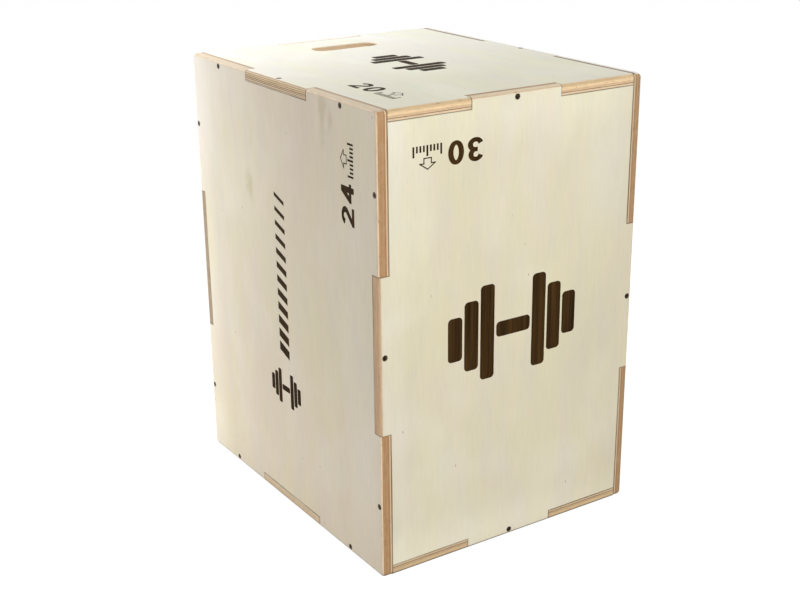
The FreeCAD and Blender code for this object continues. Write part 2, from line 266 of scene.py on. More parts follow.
END_REGIONS = [(INNER["x"], 1, TAB["z"], 1), (TAB["x"], 1, INNER["z"], 1)]
SIDE_REGIONS = [(INNER["y"], 1, TAB["z"] + GAP, -1), (TAB["y"] + GAP, -1, INNER["z"], 1)]
LID_REGIONS = [(INNER["x"], 1, TAB["y"], 1), (TAB["x"] + GAP, -1, INNER["y"], 1)]
panels = [
    Panel("front_panel", ("-y", "z", "x"), END_REGIONS),
    Panel("rear_panel", ("+y", "z", "x"), END_REGIONS),
    Panel("left_panel", ("-x", "z", "y"), SIDE_REGIONS),
    Panel("right_panel", ("+x", "z", "y"), SIDE_REGIONS),
    Panel("top_panel", ("+z", "y", "x"), LID_REGIONS),
    Panel("bottom_panel", ("-z", "y", "x"), LID_REGIONS),
]
for panel in panels:
    print(panel.node, "outer face at", round(panel.outer, 1), "mm, grain along", panel.grain)

# %% Depth, grain and edges as wires
class Spot:
    """What a panel's finish knows of a point, in mm.

    Its depth below the outer face, its place along and across the grain, the distance to the
    rim and to the corner, how deep it lies below the rounded surface, and how far the
    nearest joint is. At_side is 1 near the edges that run along the grain and 0 near those
    that cut it."""

    JOINT_LIP = 3.0

    def __init__(self, panel, axes):
        axes = dict(axes, z=axes["z"] - HALF["z"])
        outer = panel.outer - (HALF["z"] if panel.through == "z" else 0)
        self.depth = (axes[panel.through] - outer) * panel.inward
        self.along, self.across = axes[panel.grain], axes[panel.cross]
        grain, cross = abs(self.along), abs(self.across)
        to_side, to_end = HALF[panel.cross] - cross, HALF[panel.grain] - grain
        self.rim, self.corner = to_side.least(to_end), to_side.most(to_end)
        self.at_side = (to_end - to_side).ease(-1.0, 1.0)
        inset = (ARRIS - self.depth).most(0.0), (ARRIS - self.rim).most(0.0)
        reach = inset[0] * inset[0] + inset[1] * inset[1]
        self.buried = ARRIS - reach.maths("SQRT", reach)
        self.joint = (THICKNESS - self.depth).most(self.rim - self.JOINT_LIP)
        for cross_limit, cross_side, grain_limit, grain_side in panel.regions:
            off = ((cross_limit - cross) * cross_side).most((grain_limit - grain) * grain_side)
            self.joint = self.joint.least(off)


print("spots can be read on", len(panels), "panels")

# %% [markdown]
# ## Face veneer
# The outer veneer is pale poplar: cream, with soft patches of yellow, rosy and grey wood
# drawn out along the grain, short light and dark dashes where vessels were cut, and now and
# then a brown fleck. A wave texture gives regular stripes, which poplar doesn't have, so each
# of these is noise that is stretched along the grain, read at its own width. The panels are
# cut from different sheets: each has its own tint, and some have strips of sapwood and stains.
# Other patches, the top's tint and the fading along a panel's length or width are painted light
# and shade: a face drawn lighter where more light falls on it and darker where less does.

# %% Veneer colours and grain
YELLOW, ROSY, GREY = paint(230, 222, 191), paint(230, 220, 197), paint(224, 218, 198)
PALE, LIGHT, COOL = paint(241, 236, 222), paint(250, 246, 222), paint(234, 230, 218)
DIM, TAUPE, OLIVE = paint(212, 204, 180), paint(186, 164, 142), paint(192, 178, 126)
FLECK, FLECK_CELL, FLECK_SIZE = paint(158, 122, 86), (70.0, 170.0), (0.006, 0.020)
BLOTCHY, SOFT = 4.0, 0.5
GRAINS = {
    "wide": (64.0, 230.0, 2.0), "patch": (33.0, 120.0, 2.0), "cloud": (120.0, 170.0, 2.0),
    "dash": (1.9, 26.0, 2.0), "fibre": (0.9, 30.0, 2.0), "ripple": (6.0, 60.0, 3.0),
    "smear": (16.0, 40.0, 3.0),
}
GRAIN_STEP, GRAIN_WARP = 4.0, 0.25


def grains(spot, seed):
    """The noises of the table above; a row there is width, length and detail."""
    wires = []
    for layer, (width, length, detail) in enumerate(GRAINS.values()):
        place = point(spot.across / width, spot.along / length, seed + GRAIN_STEP * layer)
        wires.append(noise(place, detail=detail, distortion=GRAIN_WARP))
    return wires


print("grain noises:", ", ".join(GRAINS))

# %% Veneer
def veneer(spot, seed, tint, strips, stains, fading):
    """Colour and fibre height of the face veneer.

    The seed moves the pattern about and the tint is mixed over all of it. A strip of pale
    sapwood is (across, width). A stain is (across, along, width, length, strength, colour,
    raggedness); some are real stains and some are patches of painted light and shade. A fade
    is (direction, from, to, tint): painted light and shade that tint the face gradually along
    its length or its width."""
    wide, patch, cloud, dash, fibre, ripple, smear = grains(spot, seed)
    colour = blend(wide.ease(0.36, 0.64), YELLOW, ROSY)
    colour = blend(patch.ease(0.46, 0.72) * 0.55, colour, GREY)
    colour = blend(cloud.ease(0.46, 0.74) * 0.28, colour, PALE)
    for across, width in strips:
        near = 1.0 - abs(spot.across - across).ease(width * 0.3, width)
        colour = blend(near * (0.10 + wide * 0.40), colour, PALE)
    # Some of these patches are real stains, others are painted light and shade.
    for across, along, width, length, strength, hue, ragged in stains:
        aside, ahead = (spot.across - across) / width, (spot.along - along) / length
        off = aside * aside + ahead * ahead + (smear - 0.5) * ragged
        colour = blend((1.0 - off.ease(-0.4, 1.2)) * strength, colour, hue)
    colour = tinted(colour, tint)
    # Painted light and shade: each fade tints the face gradually along one direction.
    for direction, start, end, change in fading:
        share = getattr(spot, direction).ease(start, end)
        colour = tinted(colour, blend(share, NO_TINT, change))
    dashes = dash.ease(0.60, 0.74) - (1.0 - dash.ease(0.27, 0.40))
    tone = 1.0 + dashes * 0.04 + (fibre - 0.5) * 0.04
    tone = tone + (ripple - 0.5) * 0.07 + (cloud - 0.5) * 0.06
    cell = point(spot.across / FLECK_CELL[0] + seed, spot.along / FLECK_CELL[1], 0.0)
    centre = cell.node("ShaderNodeTexVoronoi", {"voronoi_dimensions": "2D"},
                       {"Vector": cell, "Scale": 1.0}, "Distance")
    fleck = (1.0 - centre.ease(*FLECK_SIZE)) * cloud.ease(0.51, 0.60)
    return blend(fleck * 0.7, shade(colour, tone), FLECK), fibre + dashes * 0.3


print("a sheet can have strips, stains and fading")

# %% [markdown]
# ## Ply edges
# Where a panel's edge shows, its plies lie in stripes: a light strip under the veneer, tan
# plies with thin glue lines, one darker ply near the inside, and a light one again. Modelled
# as separate layers they would be hundreds of thin solids, so a colour ramp reads the depth.
# A little noise bends the lines, and streaks run along each ply, because every ply is a
# strip of peeled wood with a grain of its own. Every second ply is turned, so an edge along
# the grain can show other plies bright than an edge across it: a panel names a stack for each.

# %% Stacks of plies
LID_SIDES = [
    (1.0, paint(216, 196, 168)), (0.8, paint(160, 134, 104)), (1.9, paint(218, 195, 160)),
    (0.8, paint(142, 114, 82)), (2.3, paint(224, 199, 160)), (0.9, paint(128, 100, 70)),
    (2.0, paint(218, 190, 150)), (1.0, paint(108, 82, 56)), (1.8, paint(210, 184, 148)),
    (1.0, paint(98, 74, 50)), (2.0, paint(226, 202, 170)), (0.9, paint(122, 98, 72)),
    (1.6, paint(218, 196, 166)),
]
LID_ENDS = [
    (1.2, paint(234, 210, 174)), (2.8, paint(212, 184, 142)), (1.6, paint(224, 194, 150)),
    (4.4, paint(249, 218, 173)), (0.4, paint(206, 170, 128)), (2.8, paint(228, 195, 157)),
    (1.2, paint(138, 106, 76)), (2.6, paint(240, 214, 180)), (1.0, paint(208, 180, 144)),
]
SIDE_SIDES = [
    (2.1, paint(254, 226, 194)), (3.3, paint(180, 140, 98)), (0.4, paint(148, 110, 74)),
    (3.6, paint(180, 137, 95)), (1.2, paint(192, 148, 106)), (3.2, paint(172, 129, 88)),
    (0.5, paint(138, 100, 66)), (2.0, paint(236, 204, 166)), (0.5, paint(190, 154, 116)),
    (1.2, paint(92, 70, 48)),
]
SIDE_ENDS = [
    (2.6, paint(236, 214, 186)), (6.0, paint(204, 176, 142)), (0.6, paint(160, 126, 92)),
    (4.4, paint(198, 168, 134)), (3.2, paint(222, 196, 164)), (1.2, paint(140, 114, 86)),
]
END_EDGES = [
    (2.0, paint(222, 194, 160)), (4.2, paint(216, 182, 146)), (0.5, paint(164, 126, 92)),
    (3.6, paint(215, 179, 143)), (0.5, paint(172, 134, 100)), (3.3, paint(211, 175, 139)),
    (0.6, paint(140, 104, 74)), (2.1, paint(216, 182, 148)), (1.2, paint(128, 98, 72)),
]
BASE_SIDES = [
    (2.4, paint(214, 178, 140)), (3.4, paint(246, 210, 170)), (0.5, paint(214, 184, 148)),
    (4.4, paint(246, 222, 190)), (0.4, paint(222, 196, 164)), (4.2, paint(248, 228, 198)),
    (0.4, paint(220, 198, 168)), (2.3, paint(248, 230, 202)),
]
LID_PLIES, BASE_PLIES = (LID_SIDES, LID_ENDS), (BASE_SIDES, LID_ENDS)
SIDE_PLIES, END_PLIES = (SIDE_SIDES, SIDE_ENDS), (END_EDGES, END_EDGES)
for stack in LID_PLIES + BASE_PLIES[:1] + SIDE_PLIES + END_PLIES[:1]:
    print(len(stack), "layers,", round(sum(layer[0] for layer in stack), 1), "mm")

# %% Ply colour
PLY_TURN, LINE_BEND = 0.12, 0.9
PORE = paint(104, 70, 42)


def ply_stops(stack):
    """Ramp stops for plies of given thickness: each colour holds, then turns quickly."""
    stops, top = [], 0.0
    for thickness, colour in stack:
        stops += [((top + PLY_TURN) / THICKNESS, colour),
                  ((top + thickness - PLY_TURN) / THICKNESS, colour)]
        top += thickness
    return stops


def plies(spot, seed, stacks, tint):
    """Colour and height of the panel's edge; the tint is mixed over both stacks."""
    def along_ply(length, thickness, shift, detail=2.0):
        place = point(spot.across / length, spot.along / length, spot.depth / thickness + shift)
        return noise(place, detail=detail)

    depth = (spot.depth + (along_ply(90.0, 7.0, seed) - 0.5) * LINE_BEND) / THICKNESS
    sides, ends = [depth.node("ShaderNodeValToRGB", {"stops": ply_stops(stack)}, {"Fac": depth})
                   for stack in stacks]
    ramp = tinted(blend(spot.at_side, ends, sides), tint)
    streak, hair = along_ply(34.0, 0.9, seed, detail=3.0), along_ply(8.0, 0.35, seed)
    colour = shade(ramp, 0.99 + (streak - 0.5) * 0.85 + (hair - 0.5) * 0.5)
    pores = along_ply(11.0, 1.0, -seed).ease(0.66, 0.72)
    return blend(pores * 0.75, colour, PORE), streak + hair * 0.6


print("ply lines bend by up to", LINE_BEND / 2, "mm")

# %% [markdown]
# ## The whole panel
# A point within a fraction of a millimetre of either face is veneer, and anything deeper is
# ply. On top of the wood come worn rims and painted light and shade, each driven by a distance
# worked out above: painted shade in the half-millimetre joints, some of them tighter than
# others, painted shade on the walls of the screw holes, a painted highlight along the upright
# panels' top edges in each panel's own way, hand slots sanded smooth, and a dark line of
# painted shade where the box stands on the floor. Painted by hand, these would have to follow
# every tab. A bump lifts fibres and plies.

# %% Worn rims and painted shade
VENEER_DEPTH = 0.6
# The joint, screw-hole and floor colours below are painted shade; the rim bands place a painted
# highlight on the upright panels' top edges.
JOINT_SHADE, GRIME, HOLE_SHADE = paint(112, 80, 50), paint(198, 172, 138), paint(96, 72, 46)
FLOOR_SHADE, SANDED = paint(64, 58, 50), paint(232, 210, 184)
RIM_LIGHT_BAND, RIM_LIGHT_TURN, SLOT_BAND = (TOP - 2.6, TOP - 1.0), 1.5, (24.0, 40.0)
JOINT_BAND, WORN_BAND = (0.2, 1.1), (2.0, 8.0)
FLOOR_BAND, OUTER_BAND = (2.2, 5.4), (3.6, 5.8)
HOLE_START, HOLE_END, HOLE_CORNER = (0.15, 0.4), (16.5, 17.5), (18.0, 22.0)
HOLE_NEAR, HOLE_FAR = (3.2, 3.6), (14.4, 15.0)


def even_noise(axes, size, detail=2.0):
    """Noise that is as long as it is wide."""
    return noise(point(axes["x"] / size, axes["y"] / size, axes["z"] / size), detail=detail)


def with_wear_and_painted_shade(colour, spot, axes):
    """A panel's colour with worn rims, and with painted shade in the joints, on the walls of the
    screw holes and along the floor.
    """
    ragged, tight = even_noise(axes, 14.0, detail=3.0), even_noise(axes, 130.0)
    worn = (1.0 - spot.rim.ease(*WORN_BAND)) * (0.12 + ragged.ease(0.45, 0.75) * 0.25)
    colour = blend(worn, colour, GRIME)
    # Painted shade in the joints, standing in for the shadow in the gap, stronger at some joints
    # than at others.
    gap = 1.0 - spot.joint.ease(*JOINT_BAND)
    colour = blend(gap * (0.45 + tight.ease(0.35, 0.65) * 0.5), colour, JOINT_SHADE)
    # Painted shade on the walls of the screw holes, below the surface and away from the panel's
    # corners.
    hole = spot.buried.ease(*HOLE_START) * (1.0 - spot.depth.ease(*HOLE_END))
    hole = hole * spot.rim.ease(*HOLE_NEAR) * (1.0 - spot.rim.ease(*HOLE_FAR))
    hole = hole * spot.corner.ease(*HOLE_CORNER)
    colour = blend(hole * (0.55 + ragged * 0.5), colour, HOLE_SHADE)
    # Painted shade in the lowest few millimetres of the outer faces, where the box meets the
    # floor.
    outside = (HALF["x"] - abs(axes["x"])).least(HALF["y"] - abs(axes["y"]))
    floor_shade = (1.0 - axes["z"].ease(*FLOOR_BAND)) * (1.0 - outside.ease(*OUTER_BAND))
    return blend(floor_shade * 0.9, colour, FLOOR_SHADE)


print("joints hold painted shade up to", JOINT_BAND[1], "mm away")

# %% Plywood
# The rims are painted light and shade on the top edges of the upright panels: each pale outer
# colour is a painted highlight, and the right panel's dark grey inner colour is painted shade.
DULL_RIM = paint(214, 200, 178), paint(170, 148, 122), 12.5
BROWN_RIM = paint(228, 216, 190), paint(158, 128, 96), 9.5
PALE_RIM = paint(250, 246, 238), paint(240, 232, 220), 12.5
GREY_RIM = paint(250, 247, 242), paint(80, 78, 78), 12.0


def plywood(panel, seed, stacks, face_tint=NO_TINT, edge_tint=NO_TINT, wear_and_rim_light=DULL_RIM,
            strips=(), stains=(), fading=()):
    """The finish of one panel. The rim light is painted light and shade on the top edges of the
    upright panels: its outer colour, inner colour and the depth where one turns into the other."""
    finish, shader, axes = new_finish("plywood_" + panel.node)
    spot = Spot(panel, axes)
    face, fibre = veneer(spot, seed, face_tint, strips, stains, fading)
    edge, pile = plies(spot, seed, stacks, edge_tint)
    # Painted highlight along the top edges of the upright panels, pale at the outer face and
    # darker inside; on the right panel the inner part is painted shade.
    if panel.through != "z":
        outer, inner, turn = wear_and_rim_light
        rim = blend(spot.depth.ease(turn - RIM_LIGHT_TURN, turn + RIM_LIGHT_TURN), outer, inner)
        edge = blend(axes["z"].ease(*RIM_LIGHT_BAND) * 0.85, edge, rim)
    edge = blend(spot.rim.ease(*SLOT_BAND) * 0.4, edge, SANDED)
    skin = THICKNESS / 2 - VENEER_DEPTH
    on_edge = 1.0 - abs(spot.depth - THICKNESS / 2).ease(skin - 0.1, skin + 0.1)
    colour = with_wear_and_painted_shade(blend(on_edge, face, edge), spot, axes)
    rough = 0.56 + (fibre - 0.5) * 0.12 + on_edge * 0.16
    lift = fibre + on_edge * pile
    bump = lift.node("ShaderNodeBump", {}, {"Strength": 0.18, "Distance": 0.0004, "Height": lift})
    connect(shader, Base_Color=colour, Roughness=rough, Normal=bump, Specular_IOR_Level=0.35)
    return finish


print("rims turn colour at", [rim[2] for rim in (DULL_RIM, BROWN_RIM, PALE_RIM, GREY_RIM)], "mm")

# %% The six sheets
SEED_START, SEED_STEP = 1.7, 7.3
sheets = {
    # The front's fades and its two LIGHT patches are painted light and shade: lighter at the top,
    # the bottom and the upper left, darker towards the right.
    "front_panel": dict(
        stacks=END_PLIES, edge_tint=(0.95, 0.93, 0.92, 1), wear_and_rim_light=BROWN_RIM,
        strips=[(-232.0, 34.0)],
        stains=[(-205.0, 225.0, 60.0, 150.0, 0.40, LIGHT, SOFT),
                (-120.0, -345.0, 150.0, 80.0, 0.40, LIGHT, SOFT),
                (185.0, 240.0, 75.0, 150.0, 0.55, COOL, SOFT),
                (155.0, -70.0, 75.0, 200.0, 0.40, DIM, SOFT)],
        fading=[("across", 150.0, 235.0, (0.95, 0.95, 0.94, 1)),
                ("along", 280.0, 365.0, (1.09, 1.11, 1.14, 1)),
                ("along", -300.0, -365.0, (1.09, 1.10, 1.12, 1))]),
    "rear_panel": dict(
        stacks=END_PLIES, edge_tint=(0.62, 0.69, 0.74, 1), wear_and_rim_light=PALE_RIM),
    # On the left face the fades, the large TAUPE patch and the large PALE patch at the upper rear
    # are painted light and shade: darker over the upper middle, lighter towards the rear and the
    # bottom.
    "left_panel": dict(
        stacks=SIDE_PLIES, face_tint=(1.01, 0.975, 0.99, 1), edge_tint=(1.04, 1.02, 1.0, 1),
        stains=[(-155.0, 345.0, 24.0, 46.0, 0.5, OLIVE, BLOTCHY),
                (103.0, 188.0, 14.0, 34.0, 0.4, OLIVE, BLOTCHY),
                (-80.0, 290.0, 190.0, 290.0, 0.27, TAUPE, SOFT),
                (-190.0, -345.0, 130.0, 90.0, 0.14, TAUPE, SOFT),
                (300.0, 375.0, 130.0, 260.0, 0.9, PALE, SOFT),
                (-250.0, -130.0, 70.0, 320.0, 0.45, PALE, SOFT)],
        fading=[("along", -330.0, 60.0, (0.89, 0.89, 0.89, 1)),
                ("across", 80.0, 300.0, (1.08, 1.09, 1.10, 1)),
                ("across", 225.0, 300.0, (1.11, 1.12, 1.14, 1))]),
    "right_panel": dict(
        stacks=SIDE_PLIES, edge_tint=(0.90, 0.95, 1.0, 1), wear_and_rim_light=GREY_RIM),
    # The top's tint and fade are painted light and shade: greyer and darker at the front,
    # brighter and bluer towards the rear.
    "top_panel": dict(
        stacks=LID_PLIES, face_tint=(0.905, 0.945, 0.99, 1),
        fading=[("along", -305.0, 200.0, (1.11, 1.13, 1.24, 1))]),
    "bottom_panel": dict(
        stacks=BASE_PLIES, edge_tint=(0.83, 0.82, 0.79, 1)),
}
for number, panel in enumerate(panels):
    finish = plywood(panel, SEED_STEP * number + SEED_START, **sheets[panel.node])
    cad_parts[panel.node].data.materials[0] = finish
    print(panel.node, "gets", finish.name)

# %% [markdown]
# ## Screws
# The heads are black steel, sunk just under the veneer. Their shape is in the solids, so
# they only need a finish: nearly black, slightly blotchy, with a satin gloss that the driver
# has rubbed here and there. One material serves all of them, and because it reads the
# object's place, no two heads look alike.

# %% Black steel
BLACKED, BARED = paint(26, 20, 12), paint(84, 66, 44)


def black_steel():
    """Satin black screws."""
    finish, shader, axes = new_finish("black_steel")
    spread, fine = even_noise(axes, 4.0, detail=3.0), even_noise(axes, 0.5)
    wear_and_rim_light = (spread * 0.8 + fine * 0.2).ease(0.46, 0.60)
    bump = fine.node("ShaderNodeBump", {}, {"Strength": 0.15, "Distance": 0.0002, "Height": fine})
    connect(shader, Base_Color=blend(wear_and_rim_light, BLACKED, BARED), Roughness=0.62 - wear_and_rim_light * 0.14,
            Metallic=wear_and_rim_light * 0.4, Normal=bump, Specular_IOR_Level=0.15)
    return finish


screws = [node for name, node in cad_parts.items() if name.startswith("screw_")]
steel = black_steel()
for screw in screws:
    screw.data.materials[0] = steel
print(len(screws), "screws get", steel.name)

# %% [markdown]
# ## The burnt marks' finish
# The height marks are burnt or stained into the veneer, so they are dark brown and the
# bands of the grain still show through, darker and lighter. A flat brown would look like
# vinyl. The finish reads the same stretched noise as the veneer, along the grain of the
# face that the mark sits on.

# %% Burnt veneer
def burnt(name, grain, across, dark, light):
    """Dark stain on veneer; the grain axis and the two browns differ from face to face."""
    finish, shader, axes = new_finish(name)
    band = noise(point(axes[across] / 13.0, axes[grain] / 400.0, 2.0), detail=3.0)
    streak = noise(point(axes[across] / 2.6, axes[grain] / 120.0, 5.0), detail=3.0)
    fibre = noise(point(axes[across] / 0.7, axes[grain] / 26.0, 9.0), detail=2.0)
    depth = (band * 0.6 + streak * 0.4).ease(0.34, 0.66)
    colour = shade(blend(depth, dark, light), 1.0 + (fibre - 0.5) * 0.4)
    bump = fibre.node("ShaderNodeBump", {},
                      {"Strength": 0.2, "Distance": 0.0003, "Height": fibre})
    connect(shader, Base_Color=colour, Roughness=0.58 + (streak - 0.5) * 0.2, Normal=bump,
            Specular_IOR_Level=0.02)
    return finish


burnt_front = burnt("burnt_front", "z", "x", paint(42, 29, 14), paint(78, 55, 28))
burnt_side = burnt("burnt_side", "z", "y", paint(40, 26, 11), paint(64, 44, 20))
burnt_top = burnt("burnt_top", "y", "x", paint(44, 36, 26), paint(70, 58, 46))
print("burnt finishes:", burnt_front.name, burnt_side.name, burnt_top.name)

# %% [markdown]
# ## Numerals and arrows
# Each face carries its height as a number, with an arrow that points at the floor when the
# box stands at that height. The numerals could be a text object, but the built-in letters
# are thin, and thickening them breaks their outlines. So each numeral is a few strokes of a
# broad pen: the pen is wider across upright strokes than across level ones, as in bold sign
# lettering, and the strokes' overlaps are merged into one clean outline.

# %% A broad pen
CLOSED, WELD = 1e-6, 1e-5


def arc(centre, radii, start, end, steps=24):
    """Points on an ellipse from one angle to another, in degrees."""
    angles = [radians(start + (end - start) * step / steps) for step in range(steps + 1)]
    return [Vector((centre[0] + radii[0] * cos(angle), centre[1] + radii[1] * sin(angle)))
            for angle in angles]


def pen(strokes, upright, level):
    """Quads along each stroke, as wide as the pen is for that direction."""
    quads = []
    for stroke in strokes:
        stroke = [Vector(p) for p in stroke]
        closed = (stroke[0] - stroke[-1]).length < CLOSED
        rails = []
        for i, p in enumerate(stroke):
            before = stroke[i - 1] if i else (stroke[-2] if closed else p)
            after = stroke[i + 1] if i + 1 < len(stroke) else (stroke[1] if closed else p)
            ahead = (after - before).normalized()
            width = level + (upright - level) * ahead.y ** 2
            side = Vector((-ahead.y, ahead.x)) * width / 2
            rails.append((p + side, p - side))
        for (a, b), (c, d) in zip(rails, rails[1:]):
            quads.append([b, d, c, a])
    return quads


def merged(polygons):
    """One flat mesh that covers the same area as all the polygons together."""
    corners, faces = [], []
    for polygon in polygons:
        faces.append(list(range(len(corners), len(corners) + len(polygon))))
        corners += [Vector(p) for p in polygon]
    places, _, triangles, _, _, sources = delaunay_2d_cdt(corners, [], faces, 0, WELD)
    kept = [triangle for triangle, source in zip(triangles, sources) if source]
    mesh = bpy.data.meshes.new("flat")
    mesh.from_pydata([(p.x, p.y, 0) for p in places], [], kept)
    return mesh


print("pen helpers:", arc.__name__, pen.__name__, merged.__name__)

# %% Strokes of the numerals
NUMERAL_HEIGHT, NUMERAL_WIDTH, NUMERAL_STEP = 37.0, 29.0, 36.0
UPRIGHT_PEN, LEVEL_PEN = 9.6, 6.8
MID_X, MID_Y = NUMERAL_WIDTH / 2, NUMERAL_HEIGHT / 2
ROUND_X, ROUND_Y = (NUMERAL_WIDTH - UPRIGHT_PEN) / 2, (NUMERAL_HEIGHT - LEVEL_PEN) / 2
LOW, HIGH = LEVEL_PEN / 2, NUMERAL_HEIGHT - LEVEL_PEN / 2
BOWL = (HIGH - LOW) / 4
WIDE_BOWL, TIGHT_X = BOWL * 1.05, ROUND_X - 0.6
STEM, CROSSBAR = NUMERAL_WIDTH * 0.70, NUMERAL_HEIGHT * 0.285

numerals = {
    "0": [arc((MID_X, MID_Y), (ROUND_X, ROUND_Y), 90, 450, 48)],
    "2": [arc((MID_X, HIGH - WIDE_BOWL), (ROUND_X, WIDE_BOWL), 172, -38)
          + [(UPRIGHT_PEN * 0.32, LOW)],
          [(0, LOW), (NUMERAL_WIDTH, LOW)]],
    "3": [arc((MID_X - 0.6, HIGH - BOWL), (TIGHT_X, BOWL), 168, -90),
          [(MID_X - 4, MID_Y), (MID_X, MID_Y)],
          arc((MID_X, LOW + BOWL), (ROUND_X, BOWL), 90, -168)],
    "4": [[(STEM, 0), (STEM, NUMERAL_HEIGHT)],
          [(NUMERAL_WIDTH * 0.67, NUMERAL_HEIGHT - 2.4), (4.0, NUMERAL_HEIGHT * 0.29)],
          [(0, CROSSBAR), (NUMERAL_WIDTH + 0.6, CROSSBAR)]],
}


def number_shape(text):
    """The numerals of a number, side by side on one base line, in mm."""
    polygons = []
    for place, numeral in enumerate(text):
        shift = Vector((NUMERAL_STEP * place, 0))
        for quad in pen(numerals[numeral], UPRIGHT_PEN, LEVEL_PEN):
            polygons.append([corner + shift for corner in quad])
    return merged(polygons)


print("numerals:", ", ".join(numerals), "at", NUMERAL_HEIGHT, "mm tall")

# %% The arrow's outline
ARROW_CENTRE, ARROW_LOW, ARROW_NECK, ARROW_HIGH = 102.0, 19.6, 27.5, 36.4
ARROW_HALF, ARROW_STEM, ARROW_PEN = 14.0, 6.6, 1.8


def arrow_shape():
    """A hollow arrow that points up, drawn with a thin pen."""
    outline = [(-ARROW_STEM, ARROW_LOW), (ARROW_STEM, ARROW_LOW), (ARROW_STEM, ARROW_NECK),
               (ARROW_HALF, ARROW_NECK), (0, ARROW_HIGH), (-ARROW_HALF, ARROW_NECK),
               (-ARROW_STEM, ARROW_NECK), (-ARROW_STEM, ARROW_LOW)]
    corners = [Vector((ARROW_CENTRE + x, y)) for x, y in outline]
    sides = []
    for start, end in zip(corners, corners[1:]):
        past = (end - start).normalized() * ARROW_PEN / 2
        sides.append([start - past, end + past])
    return merged(pen(sides, ARROW_PEN, ARROW_PEN))


print("arrow:", round(ARROW_HIGH - ARROW_LOW, 1), "mm tall")

# %% [markdown]
# ## Repeated marks with Geometry Nodes
# Three marks repeat a simple shape: the ruler ticks beside a number, the row of slanted
# bars on the side, and the plates of the barbell sign. Each could be typed out corner by
# corner, but a small node tree with named sizes says the rule once, and the same tree draws
# the sign at three scales. The trees make flat shapes in millimetres; the next step gives
# them a thickness and a place.

# %% Trees with named sizes
def new_tree(name, sizes):
    """A Geometry Nodes tree with an input for each size; gives the tree and the inputs' wires."""
    tree = bpy.data.node_groups.new(name, "GeometryNodeTree")
    tree.interface.new_socket("Geometry", in_out="OUTPUT", socket_type="NodeSocketGeometry")
    for size in sizes:
        kind = "NodeSocketInt" if size == "Count" else "NodeSocketFloat"
        tree.interface.new_socket(size, in_out="INPUT", socket_type=kind)
    entry = tree.nodes.new("NodeGroupInput")
    return tree, [Wire(tree, entry.outputs[size]) for size in sizes]


def end_tree(shape, finish):
    """Close a tree with Realize Instances and Set Material."""
    shape = shape.node("GeometryNodeRealizeInstances", {}, {"Geometry": shape})
    shape = shape.node("GeometryNodeSetMaterial", {}, {"Geometry": shape, "Material": finish})
    leave = shape.tree.nodes.new("NodeGroupOutput")
    shape.tree.links.new(shape.socket, leave.inputs[0])


def grow(tree, **sizes):
    """Run a tree with the given sizes and keep the result as a plain mesh."""
    holder = bpy.data.objects.new(tree.name, bpy.data.meshes.new(tree.name))
    scene.collection.objects.link(holder)
    modifier = holder.modifiers.new(tree.name, "NODES")
    modifier.node_group = tree
    for item in tree.interface.items_tree:
        if item.in_out == "INPUT":
            modifier[item.identifier] = sizes[item.name.replace(" ", "_")]
    settled = holder.evaluated_get(bpy.context.evaluated_depsgraph_get())
    mesh = bpy.data.meshes.new_from_object(settled)
    holder.modifiers.remove(modifier)
    bpy.data.objects.remove(holder)
    print(tree.name, "made", len(mesh.polygons), "faces")
    return mesh


def row_of_points(count, pitch, start):
    """Points along x, one pitch apart."""
    return count.node("GeometryNodeMeshLine", {},
                      {"Count": count, "Start Location": point(start, 0.0, 0.0),
                       "Offset": point(pitch, 0.0, 0.0)})


print("tree helpers:", new_tree.__name__, end_tree.__name__, grow.__name__)

# %% Ruler ticks
LONG_EVERY = 4.0


def tick_tree(finish):
    """Ticks on a base line; every fourth one is long."""
    tree, (count, pitch, width, short, long) = new_tree(
        "ruler_ticks", ["Count", "Pitch", "Width", "Short", "Long"])
    tick = count.node("GeometryNodeMeshGrid", {}, {"Size X": width, "Size Y": 1.0,
                                                   "Vertices X": 2, "Vertices Y": 2})
    tick = tick.node("GeometryNodeTransform", {}, {"Geometry": tick, "Translation": (0, 0.5, 0)})
    index = count.node("GeometryNodeInputIndex", {}, {})
    is_long = 1.0 - index.maths("MODULO", index, LONG_EVERY).least(1.0)
    tall = short + (long - short) * is_long
    row = count.node("GeometryNodeInstanceOnPoints", {},
                     {"Points": row_of_points(count, pitch, width / 2),
                      "Instance": tick, "Scale": point(1.0, tall, 1.0)})
    end_tree(row, finish)
    return tree


ticks = tick_tree(burnt_front)
print(ticks.name, "has", len(ticks.nodes), "nodes")

# %% Slanted bars
def bar_tree(finish):
    """A row of leaning bars that grow thinner along the row."""
    tree, (count, pitch, width, height, lean, thinning) = new_tree(
        "slanted_bars", ["Count", "Pitch", "Width", "Height", "Lean", "Thinning"])
    bar = count.node("GeometryNodeMeshGrid", {}, {"Size X": 1.0, "Size Y": height,
                                                  "Vertices X": 2, "Vertices Y": 2})
    index = count.node("GeometryNodeInputIndex", {}, {})
    row = count.node("GeometryNodeInstanceOnPoints", {},
                     {"Points": row_of_points(count, pitch, width / 2), "Instance": bar,
                      "Scale": point(width - index * thinning, 1.0, 1.0)})
    flat = row.node("GeometryNodeRealizeInstances", {}, {"Geometry": row})
    place = row.node("GeometryNodeInputPosition", {}, {})
    level = place.node("ShaderNodeSeparateXYZ", {}, {0: place}, 1)
    leaning = flat.node("GeometryNodeSetPosition", {},
                        {"Geometry": flat, "Offset": point(level * lean, 0.0, 0.0)})
    end_tree(leaning, finish)
    return tree


bars = bar_tree(burnt_side)
print(bars.name, "has", len(bars.nodes), "nodes")

# %% Barbell sign
CORNER_STEPS = 6


